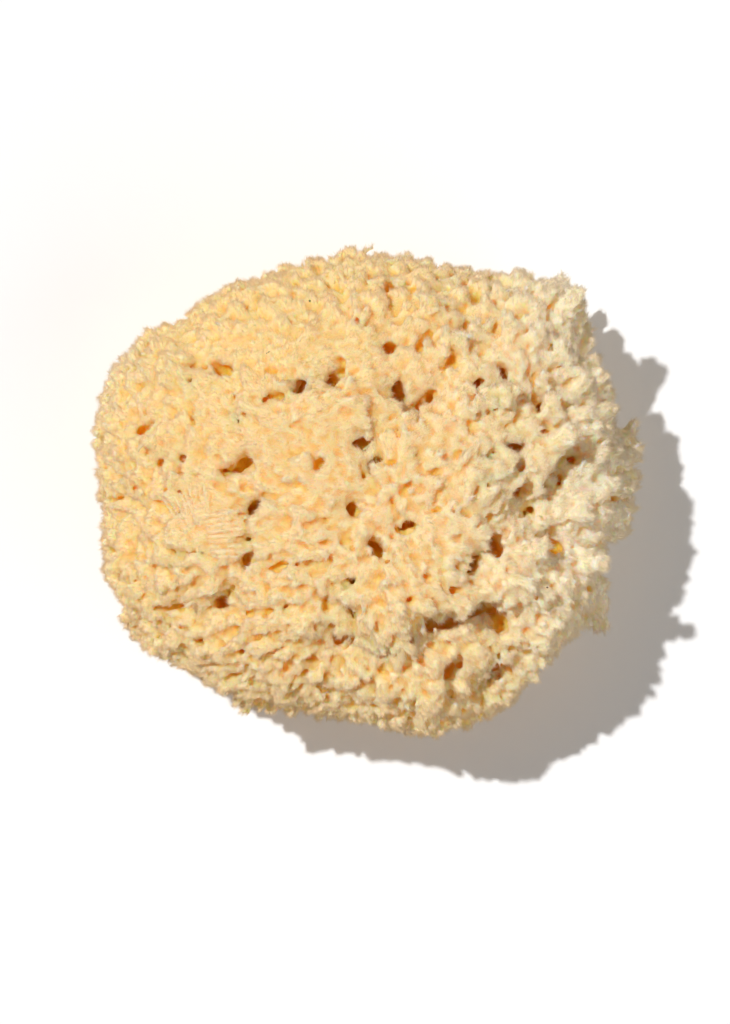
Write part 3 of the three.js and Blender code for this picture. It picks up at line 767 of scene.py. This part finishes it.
def cut_pits(field, smooth, upper, rng, wide, least):
    """Cuts the pits that are at least so deep, at a share of their width."""
    for line, width, depth in PITS:
        if depth < least:
            continue
        line = np.array(line, float)
        stops = []
        for a, b in zip(line[:-1], line[1:]):
            count = max(1, int(np.linalg.norm(b - a) * PIXEL / PIT_PITCH))
            stops += [a + (b - a) * step / count for step in range(count)]
        places = upper.place(np.array(stops + [line[-1]]))
        inward = -unit(smooth.outward(places, PIT_FEEL) + PIT_UPRIGHT * np.array([0, 0, 1]))
        share = (np.arange(len(places)) + 0.5) / len(places)
        swell = 1 - PIT_NARROW * np.abs(2 * share - 1) ** 2
        radius = 0.5 * wide * width * PIXEL * swell * rng.uniform(*PIT_WIDTHS, len(places))
        sunk = PIT_DEPTH * wide * depth * swell * rng.uniform(*PIT_DEPTHS, len(places))
        places = places + rng.normal(0, PIT_STRAY * width * PIXEL / 2, places.shape)
        for place, way, r, d in zip(places, inward, radius, sunk):
            mouth = place - PIT_ABOVE * way
            foot = place + PIT_FOOT * r * way
            bottom = place + max(d - PIT_TAPER * r, PIT_LEAST) * way
            cut_stroke(field, mouth, foot, PIT_FLARE * r, PIT_FOOT_WIDE * r, PIT_LIP)
            cut_stroke(field, place, bottom, PIT_SHAFT * r, PIT_TAPER * r, PIT_BLEND)


def seen_places(field, pixels):
    """Where the camera's ray through each pixel meets the sponge."""
    heights = np.arange(field.axes()[2][-1], 0, -RAY_STEP)
    places = []
    for pixel in pixels:
        size = PIXEL * (CAMERA_PLACE[2] - heights) / (CAMERA_PLACE[2] - PIXEL_HEIGHT)
        x = CAMERA_PLACE[0] + (pixel[0] - PHOTO_MIDDLE[0]) * size
        y = CAMERA_PLACE[1] - (pixel[1] - PHOTO_MIDDLE[1]) * size
        ray = np.stack([x, y, heights], axis=1)
        places.append(ray[np.argmax(field.sample(ray) < 0)])
    return np.array(places)


def add_flutes(field):
    """Fine ridges that make the fan."""
    for a, b, c, d, count in FAN_FLUTES:
        for share in np.linspace(0, 1, count):
            start = np.array(a) + share * (np.array(c) - np.array(a))
            end = np.array(b) + share * (np.array(d) - np.array(b))
            line = start + np.linspace(0, 1, FLUTE_STOPS)[:, None] * (end - start)
            path = seen_places(field, line)
            path = path + FLUTE_RAISE * field.outward(path, FLUTE_FEEL)
            join_stroke(field, path, np.full(len(path), FLUTE_RADIUS), FLUTE_BLEND)


def add_wisp(field, upper):
    path = upper.place(WISP)
    path[:, 2] = np.linspace(*WISP_HEIGHTS, len(path))
    join_stroke(field, path, np.linspace(*WISP_RADII, len(path)), WISP_BLEND)


def chance(index):
    """A repeatable number from 0 to 1 for each whole number."""
    wave = math.sin((index + 1) * CHANCE_STEP + CHANCE_START) * CHANCE_SIZE
    return wave - math.floor(wave)


def cut_canals(field):
    """Canals that open in the flat cut."""
    for r, (count, ring, radius) in enumerate(CANAL_RINGS):
        for i in range(count):
            stray = CANAL_STRAY * chance(i + CHANCE_RING * r)
            turn = (i + CANAL_TURN * r + stray) * 2 * math.pi / count
            mouth = np.array([ring * math.cos(turn) * CANAL_STRETCH, ring * math.sin(turn), CANAL_START])
            cut_stroke(field, mouth, mouth + [0, 0, CANAL_DEPTH - radius], radius, radius, CANAL_BLEND)


def roughen(field, rng):
    """Fine unevenness all over."""
    for size, height in RELIEF:
        noise = blurred(rng.standard_normal(field.values.shape, dtype=np.float32), size / 2 / field.step)
        field.values += np.float32(height / noise.std()) * noise


def sponge_field(rng):
    """The whole sponge as distances."""
    field = smooth_body()
    smooth = Field(field.low, field.step, field.values.copy())
    upper = Upper(smooth)
    add_tufts(field, smooth, rng)
    fill_creases(field, smooth)
    add_fingers(field, smooth, upper)
    cut_pits(field, smooth, upper, rng, PIT_WIDE, 0)
    add_locks(field, smooth, rng)
    cut_pits(field, smooth, upper, rng, PIT_REOPEN, PIT_REOPEN_DEPTH)
    field.values = blurred(field.values, SOFTEN / field.step)
    roughen(field, rng)
    add_flutes(field)
    add_wisp(field, upper)
    floor = field.axes()[2].astype(np.float32)[None, None, :]
    field.values = np.maximum(field.values, -floor)
    cut_canals(field)
    return field


# Meshes

def largest_shell(count, quads):
    """Which faces belong to the shell that has the most vertices."""
    label = np.arange(count)
    a = quads.ravel()
    b = np.roll(quads, 1, axis=1).ravel()
    while True:
        low = np.minimum(label[a], label[b])
        fresh = label.copy()
        np.minimum.at(fresh, a, low)
        np.minimum.at(fresh, b, low)
        fresh = fresh[fresh]
        if np.array_equal(fresh, label):
            break
        label = fresh
    sizes = np.bincount(label)
    return label[quads[:, 0]] == sizes.argmax()


def array_object(name, points, triangles):
    """A mesh of triangles straight from arrays."""
    mesh = bpy.data.meshes.new(name)
    mesh.vertices.add(len(points))
    mesh.vertices.foreach_set("co", (points * MM).astype(np.float32).ravel())
    mesh.loops.add(3 * len(triangles))
    mesh.loops.foreach_set("vertex_index", triangles.astype(np.int32).ravel())
    mesh.polygons.add(len(triangles))
    mesh.polygons.foreach_set("loop_start", np.arange(0, 3 * len(triangles), 3, dtype=np.int32))
    mesh.update(calc_edges=True)
    mesh.validate()
    piece = bpy.data.objects.new(name, mesh)
    bpy.context.scene.collection.objects.link(piece)
    return piece


def mesh_points(mesh):
    points = np.empty(len(mesh.vertices) * 3, np.float32)
    mesh.vertices.foreach_get("co", points)
    return points.reshape(-1, 3).astype(float) / MM


def mesh_triangles(mesh):
    mesh.calc_loop_triangles()
    triangles = np.empty(len(mesh.loop_triangles) * 3, np.int32)
    mesh.loop_triangles.foreach_get("vertices", triangles)
    return triangles.reshape(-1, 3)


def mark(mesh, name, values):
    """Gives each vertex a number that the finishes read."""
    attribute = mesh.attributes.new(name, "FLOAT", "POINT")
    attribute.data.foreach_set("value", np.asarray(values, np.float32))


def body_piece(field):
    """The body's mesh, thinned to its number of triangles."""
    band = SHELL_VOXELS * field.step
    grid = openvdb.FloatGrid(band)
    grid.copyFromArray(np.clip(field.values, -band, band))
    grid.transform = openvdb.createLinearTransform(voxelSize=field.step)
    points, quads = grid.convertToQuads(isovalue=0.0)
    points = points + field.low
    quads = quads.astype(int)
    quads = quads[largest_shell(len(points), quads)]
    used, index = np.unique(quads, return_inverse=True)
    points = points[used]
    quads = index.reshape(-1, 4)
    normal = np.cross(points[quads[:, 1]] - points[quads[:, 0]], points[quads[:, 2]] - points[quads[:, 0]])
    middle = points[quads].mean(axis=1)
    if (normal * field.outward(middle, field.step)).sum() < 0:
        quads = quads[:, ::-1]
    triangles = np.concatenate([quads[:, [0, 1, 2]], quads[:, [0, 2, 3]]])
    piece = array_object("sponge_body", points, triangles)
    thin = piece.modifiers.new("thin", "DECIMATE")
    thin.ratio = min(1.0, BODY_TRIANGLES / len(triangles))
    view = bpy.context.evaluated_depsgraph_get()
    mesh = bpy.data.meshes.new_from_object(piece.evaluated_get(view))
    piece.modifiers.clear()
    piece.data = mesh
    mesh.shade_smooth()
    return piece


def dirt_piece(field):
    """Specks and a hair, as small eight-sided grains and one thin thread of them."""
    points, triangles = [], []
    corners = np.array([(1, 0, 0), (-1, 0, 0), (0, 1, 0), (0, -1, 0), (0, 0, 1), (0, 0, -1)], float)
    faces = np.array([(4, 0, 2), (4, 2, 1), (4, 1, 3), (4, 3, 0), (5, 2, 0), (5, 1, 2), (5, 3, 1), (5, 0, 3)])
    for line, radius in DIRT:
        line = np.array(line, float)
        stops = np.linspace(0, len(line) - 1, HAIR_GRAINS if len(line) > 1 else 1)
        spots = np.stack([np.interp(stops, np.arange(len(line)), line[:, a]) for a in range(2)], axis=1)
        for place in seen_places(field, spots):
            triangles.append(faces + len(corners) * len(points))
            points.append(place + DIRT_LIFT + corners * radius * PIXEL)
    return array_object("dirt", np.concatenate(points), np.concatenate(triangles))


def dirt_finish():
    material = bpy.data.materials.new("dirt")
    material.use_nodes = True
    shader = material.node_tree.nodes["Principled BSDF"]
    shader.inputs["Base Color"].default_value = DIRT_COLOUR
    shader.inputs["Roughness"].default_value = DIRT_ROUGHNESS
    return material


def occupied(field, spread):
    """How full the space round a place is, from 0 to 1."""
    fill = np.clip(0.5 - field.values / (2 * field.step), 0, 1)
    return Field(field.low, field.step, blurred(fill, spread / field.step))


# Fibres

def surface_samples(mesh, weight, count, rng):
    """Places spread over a mesh, denser where its triangles weigh more."""
    points = mesh_points(mesh)
    triangles = mesh_triangles(mesh)
    a, b, c = (points[triangles[:, i]] for i in range(3))
    area = np.linalg.norm(np.cross(b - a, c - a), axis=1)
    total = np.cumsum(area * weight[triangles].mean(axis=1))
    chosen = np.searchsorted(total, rng.uniform(0, total[-1], count))
    u, v = rng.uniform(0, 1, (2, count, 1))
    over = u + v > 1
    u, v = np.where(over, 1 - u, u), np.where(over, 1 - v, v)
    return a[chosen] + u * (b[chosen] - a[chosen]) + v * (c[chosen] - a[chosen])


def slivers(roots, tips, facing, width):
    """A closed sliver for each fibre, its flat side outward and its keel in the body."""
    side = unit(np.cross(facing, tips - roots)) * (0.5 * width)[:, None]
    keel = roots - facing * (FIBRE_KEEL * width)[:, None]
    points = np.stack([roots - side, roots + side, keel, tips], axis=1).reshape(-1, 3)
    faces = np.array([(0, 3, 1), (0, 2, 3), (2, 1, 3), (0, 1, 2)])
    first = FIBRE_CORNERS * np.arange(len(roots))
    triangles = (first[:, None, None] + faces[None]).reshape(-1, 3)
    return points, triangles


def grow_fibres(body, weight, field, rng):
    """Fibres that lie along the flow on the tips of the wool and stand out at the rim."""
    roots = surface_samples(body.data, weight, FIBRES, rng)
    facing = field.outward(roots, field.step)
    flow = turned(flow_at(roots), rng.normal(0, FIBRE_SPREAD, FIBRES))
    way = unit(flow - (flow * facing).sum(axis=1, keepdims=True) * facing)
    way = unit(way + rng.uniform(*FIBRE_LEAN, FIBRES)[:, None] * facing)
    pale = zone_values(pixel_of(roots), TINT_ZONES)[0]
    length = FIBRE_LENGTH * rng.uniform(*FIBRE_LENGTHS, FIBRES) * np.where(pale > FRINGE_TINT, FRINGE, 1.0)
    tips = roots + length[:, None] * way
    clear = field.sample(tips)
    tips += (np.maximum(clear, FIBRE_LIFT) - clear)[:, None] * facing
    tips[:, 2] = np.maximum(tips[:, 2], FIBRE_FLOOR)
    roots = roots - FIBRE_SINK * facing
    return roots, tips, facing


# Finishes

# The colour sockets of a Mix node, which share their names with its other sockets
MIX_FACTOR, MIX_UNDER, MIX_OVER, MIX_COLOUR = 0, 6, 7, 2


def node(tree, kind, place, **settings):
    made = tree.nodes.new(kind)
    made.location = place
    for name, value in settings.items():
        setattr(made, name, value)
    return made


def ramp_node(tree, place, stops):
    ramp = node(tree, "ShaderNodeValToRGB", place)
    elements = ramp.color_ramp.elements
    elements[0].position, elements[0].color = stops[0][0], (*stops[0][1], 1)
    elements[1].position, elements[1].color = stops[-1][0], (*stops[-1][1], 1)
    for position, colour in stops[1:-1]:
        elements.new(position).color = (*colour, 1)
    return ramp


def mixed_colour(tree, place, factor, under, over):
    """A mix of two colours; each is a socket or a plain colour."""
    mix = node(tree, "ShaderNodeMix", place, data_type="RGBA")
    tree.links.new(factor, mix.inputs[MIX_FACTOR])
    for socket, colour in ((mix.inputs[MIX_UNDER], under), (mix.inputs[MIX_OVER], over)):
        if isinstance(colour, tuple):
            socket.default_value = (*colour, 1)
        else:
            tree.links.new(colour, socket)
    return mix.outputs[MIX_COLOUR]


def ranged(tree, place, value, low, high, top):
    """Zero below one value and a share above another."""
    span = node(tree, "ShaderNodeMapRange", place)
    span.inputs["From Min"].default_value = low
    span.inputs["From Max"].default_value = high
    span.inputs["To Max"].default_value = top
    tree.links.new(value, span.inputs["Value"])
    return span.outputs["Result"]


def wool_with_painted_light_and_shade():
    """The colour of the wool: painted shade in the creases, painted light in the pale zones, yellow zones,
    freckles, and amber painted shade down in the hollows.
    """
    group = bpy.data.node_groups.new("wool_with_painted_light_and_shade", "ShaderNodeTree")
    for name in ("Hollow", "Crease", "Tint", "Freckle"):
        group.interface.new_socket(name, in_out="INPUT", socket_type="NodeSocketFloat")
    group.interface.new_socket("Color", in_out="OUTPUT", socket_type="NodeSocketColor")
    given = node(group, "NodeGroupInput", (-1500, 0))
    result = node(group, "NodeGroupOutput", (900, 0))
    # Painted shade: the colour darkens and turns orange into the creases
    wool = ramp_node(group, (-1200, 0), WOOL_AND_CREASE_SHADE_STOPS)
    group.links.new(given.outputs["Crease"], wool.inputs["Fac"])
    # Painted light: paler in the rim zones
    pale = ranged(group, (-1200, -300), given.outputs["Tint"], OWN_TINT, 1.0, PAINTED_RIM_LIGHT_MOST)
    colour = mixed_colour(group, (-700, 0), pale, wool.outputs["Color"], PAINTED_RIM_LIGHT)
    yellow = ranged(group, (-1200, -600), given.outputs["Tint"], OWN_TINT, 0.0, YELLOW_MOST)
    colour = mixed_colour(group, (-500, 0), yellow, colour, YELLOW_WOOL)
    place = node(group, "ShaderNodeTexCoord", (-1500, -900))
    specks = node(group, "ShaderNodeTexNoise", (-1200, -900))
    specks.inputs["Scale"].default_value = FRECKLE_SCALE
    specks.inputs["Detail"].default_value = FRECKLE_DETAIL
    group.links.new(place.outputs["Object"], specks.inputs["Vector"])
    spot = ranged(group, (-900, -900), specks.outputs["Fac"], FRECKLE_FROM, FRECKLE_TO, FRECKLE_MOST)
    shown = node(group, "ShaderNodeMath", (-600, -900), operation="MULTIPLY")
    group.links.new(spot, shown.inputs[0])
    group.links.new(given.outputs["Freckle"], shown.inputs[1])
    colour = mixed_colour(group, (-200, 0), shown.outputs[0], colour, FRECKLE_BROWN)
    # Painted shade: amber down in the hollows
    hollow_shade = ramp_node(group, (-1200, 500), HOLLOW_SHADE_STOPS)
    group.links.new(given.outputs["Hollow"], hollow_shade.inputs["Fac"])
    depth = ranged(group, (-1200, 300), given.outputs["Hollow"], HOLLOW_SHADE_FROM, HOLLOW_SHADE_TO, 1.0)
    colour = mixed_colour(group, (300, 0), depth, colour, hollow_shade.outputs["Color"])
    group.links.new(colour, result.inputs["Color"])
    return group


def coloured(tree, group):
    """Places the wool's colour, with its painted light and shade, in a material and gives it the marks of the
    mesh.
    """
    wool = node(tree, "ShaderNodeGroup", (-400, 200), node_tree=group)
    for step, name in enumerate(("Hollow", "Crease", "Tint", "Freckle")):
        marked = node(tree, "ShaderNodeAttribute", (-700, 400 - 200 * step), attribute_name=name.lower())
        tree.links.new(marked.outputs["Fac"], wool.inputs[name])
    return wool.outputs["Color"]


def body_finish(group):
    material = bpy.data.materials.new("sponge_body")
    material.use_nodes = True
    tree = material.node_tree
    shader = tree.nodes["Principled BSDF"]
    tree.links.new(coloured(tree, group), shader.inputs["Base Color"])
    place = node(tree, "ShaderNodeTexCoord", (-1000, -500))
    grain = node(tree, "ShaderNodeTexNoise", (-700, -500))
    grain.inputs["Scale"].default_value = GRAIN_SCALE
    grain.inputs["Detail"].default_value = GRAIN_DETAIL
    grain.inputs["Roughness"].default_value = GRAIN_ROUGHNESS
    bump = node(tree, "ShaderNodeBump", (-300, -500))
    bump.inputs["Strength"].default_value = GRAIN_STRENGTH
    bump.inputs["Distance"].default_value = GRAIN_HEIGHT
    tree.links.new(place.outputs["Object"], grain.inputs["Vector"])
    tree.links.new(grain.outputs["Fac"], bump.inputs["Height"])
    tree.links.new(bump.outputs["Normal"], shader.inputs["Normal"])
    shader.inputs["Roughness"].default_value = WOOL_ROUGHNESS
    shader.inputs["Specular IOR Level"].default_value = WOOL_GLOSS
    shader.inputs["Subsurface Weight"].default_value = 1.0
    shader.inputs["Subsurface Radius"].default_value = WOOL_DEPTHS
    shader.inputs["Subsurface Scale"].default_value = WOOL_DEPTH
    return material


def fibre_finish(group):
    material = bpy.data.materials.new("sponge_fibre")
    material.use_nodes = True
    tree = material.node_tree
    shader = tree.nodes["Principled BSDF"]
    # Painted light: the fibres are mixed towards a paler colour
    painted_light = node(tree, "ShaderNodeMix", (-200, 200), data_type="RGBA")
    painted_light.inputs[MIX_FACTOR].default_value = PAINTED_FIBRE_LIGHT_SHARE
    painted_light.inputs[MIX_OVER].default_value = PAINTED_FIBRE_LIGHT
    tree.links.new(coloured(tree, group), painted_light.inputs[MIX_UNDER])
    colour = painted_light.outputs[MIX_COLOUR]
    tree.links.new(colour, shader.inputs["Base Color"])
    shader.inputs["Roughness"].default_value = WOOL_ROUGHNESS
    shader.inputs["Specular IOR Level"].default_value = WOOL_GLOSS
    through = node(tree, "ShaderNodeBsdfTranslucent", (0, -300))
    blend = node(tree, "ShaderNodeMixShader", (300, 0))
    blend.inputs["Fac"].default_value = FIBRE_THROUGH
    tree.links.new(colour, through.inputs["Color"])
    tree.links.new(shader.outputs["BSDF"], blend.inputs[1])
    tree.links.new(through.outputs["BSDF"], blend.inputs[2])
    tree.links.new(blend.outputs["Shader"], tree.nodes["Material Output"].inputs["Surface"])
    return material


# Light, floor and camera

def soft_sun(name, source, energy, angle):
    """A sun that shines from a direction and looks as wide as an angle."""
    sun = bpy.data.lights.new(name, "SUN")
    sun.energy = energy
    sun.angle = math.radians(angle)
    lamp = bpy.data.objects.new(name, sun)
    lamp.rotation_euler = Vector(source).to_track_quat("Z", "Y").to_euler()
    bpy.context.scene.collection.objects.link(lamp)


def studio():
    scene = bpy.context.scene
    scene.view_settings.view_transform = "Standard"
    scene.cycles.max_bounces = LIGHT_BOUNCES
    scene.cycles.diffuse_bounces = WOOL_BOUNCES
    world = bpy.data.worlds.new("studio")
    world.use_nodes = True
    sky = world.node_tree.nodes["Background"]
    sky.inputs["Color"].default_value = WORLD_COLOUR
    sky.inputs["Strength"].default_value = WORLD_LIGHT
    scene.world = world
    far = FLOOR_HALF
    floor = bpy.data.meshes.new("floor")
    floor.from_pydata([(-far, -far, 0), (far, -far, 0), (far, far, 0), (-far, far, 0)], [], [(0, 1, 2, 3)])
    ground = bpy.data.objects.new("floor", floor)
    scene.collection.objects.link(ground)
    pale = bpy.data.materials.new("floor_pale")
    pale.use_nodes = True
    shader = pale.node_tree.nodes["Principled BSDF"]
    shader.inputs["Base Color"].default_value = FLOOR_COLOUR
    shader.inputs["Roughness"].default_value = FLOOR_ROUGHNESS
    floor.materials.append(pale)
    soft_sun("key", KEY_FROM, KEY_LIGHT, KEY_ANGLE)
    soft_sun("fill", FILL_FROM, FILL_LIGHT, FILL_ANGLE)
    camera = bpy.data.cameras.new("camera")
    tall = PHOTO_HEIGHT * PIXEL
    camera.sensor_width = SENSOR
    camera.lens = SENSOR * (CAMERA_PLACE[2] - PIXEL_HEIGHT) / tall
    camera.clip_end = CAMERA_FAR
    eye = bpy.data.objects.new("camera", camera)
    eye.location = CAMERA_PLACE * MM
    scene.collection.objects.link(eye)
    scene.camera = eye


# The whole sponge

class Marks:
    """Tells how deep in a hollow or a crease a place lies, which is where shade is painted."""

    def __init__(self, field):
        self.broad = occupied(field, BROAD)
        self.middle = occupied(field, MIDDLE)
        self.fine = occupied(field, FINE)

    def at(self, places, outward):
        full = self.broad.sample(places + FULL_LIFT * outward)
        near = self.middle.sample(places + FULL_LIFT * outward)
        crease = self.fine.sample(places) + near
        hollow = np.clip(HOLLOW_BROAD * (full - FULL_FLAT) + HOLLOW_MIDDLE * (near - FULL_FLAT), 0, 1)
        return hollow, np.clip(0.5 + CREASE_GAIN * (crease - CREASE_FLAT), 0, 1)


def mark_wool(mesh, hollow, crease, tint, freckle):
    for name, values in (("hollow", hollow), ("crease", crease), ("tint", tint), ("freckle", freckle)):
        mark(mesh, name, values)


def add_piles(roots, tips, facing, marks, wool, rng):
    """Shares the fibres out over the piles. Only the first casts shadows, so that light gets in among them."""
    hollow, crease = marks.at(roots, facing)
    order = rng.permutation(len(roots))
    for number, mine in enumerate(np.array_split(order, PILES)):
        width = FIBRE_WIDTH * rng.uniform(*FIBRE_WIDTHS, len(mine))
        places, triangles = slivers(roots[mine], tips[mine], facing[mine], width)
        pile = array_object(f"pile_{number + 1}", places, triangles)
        # The fibres carry the body's painted shade, lighter at their tips, and more of the painted rim light
        creases = np.repeat(crease[mine], FIBRE_CORNERS)
        at_tips = slice(FIBRE_CORNERS - 1, None, FIBRE_CORNERS)
        creases[at_tips] = np.clip(creases[at_tips] - TIP_LIGHTER, 0, 1)
        tint = np.clip(zone_values(pixel_of(places), TINT_ZONES)[0] + FIBRE_PALER, 0, 1)
        mark_wool(pile.data, np.repeat(hollow[mine], FIBRE_CORNERS), creases, tint, np.zeros(len(places)))
        pile.data.materials.append(wool)
        pile.visible_shadow = number == 0
        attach(pile, "root")


def main():
    rng = np.random.default_rng(SEED)
    field = sponge_field(rng)
    body = body_piece(field)
    points = mesh_points(body.data)
    outward = field.outward(points, field.step)
    marks = Marks(field)
    # Hollow and crease drive the painted shade in the wool's colour
    hollow, crease = marks.at(points, outward)
    tint, freckle = zone_values(pixel_of(points), TINT_ZONES)
    mark_wool(body.data, hollow, crease, tint, freckle)
    group = wool_with_painted_light_and_shade()
    fibre_wool = fibre_finish(group)
    body.data.materials.append(body_finish(group))
    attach(body, "root")
    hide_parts("sponge")
    reached = (hollow < FIBRE_HOLLOW) * (points[:, 2] > FIBRE_LOWEST) * (outward[:, 2] > FIBRE_UNDER)
    weight = np.clip(FIBRE_START - FIBRE_FALL * crease, 0, 1) * reached
    roots, tips, facing = grow_fibres(body, weight, field, rng)
    add_piles(roots, tips, facing, marks, fibre_wool, rng)
    dirt = dirt_piece(field)
    dirt.data.materials.append(dirt_finish())
    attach(dirt, "root")


main()
studio()
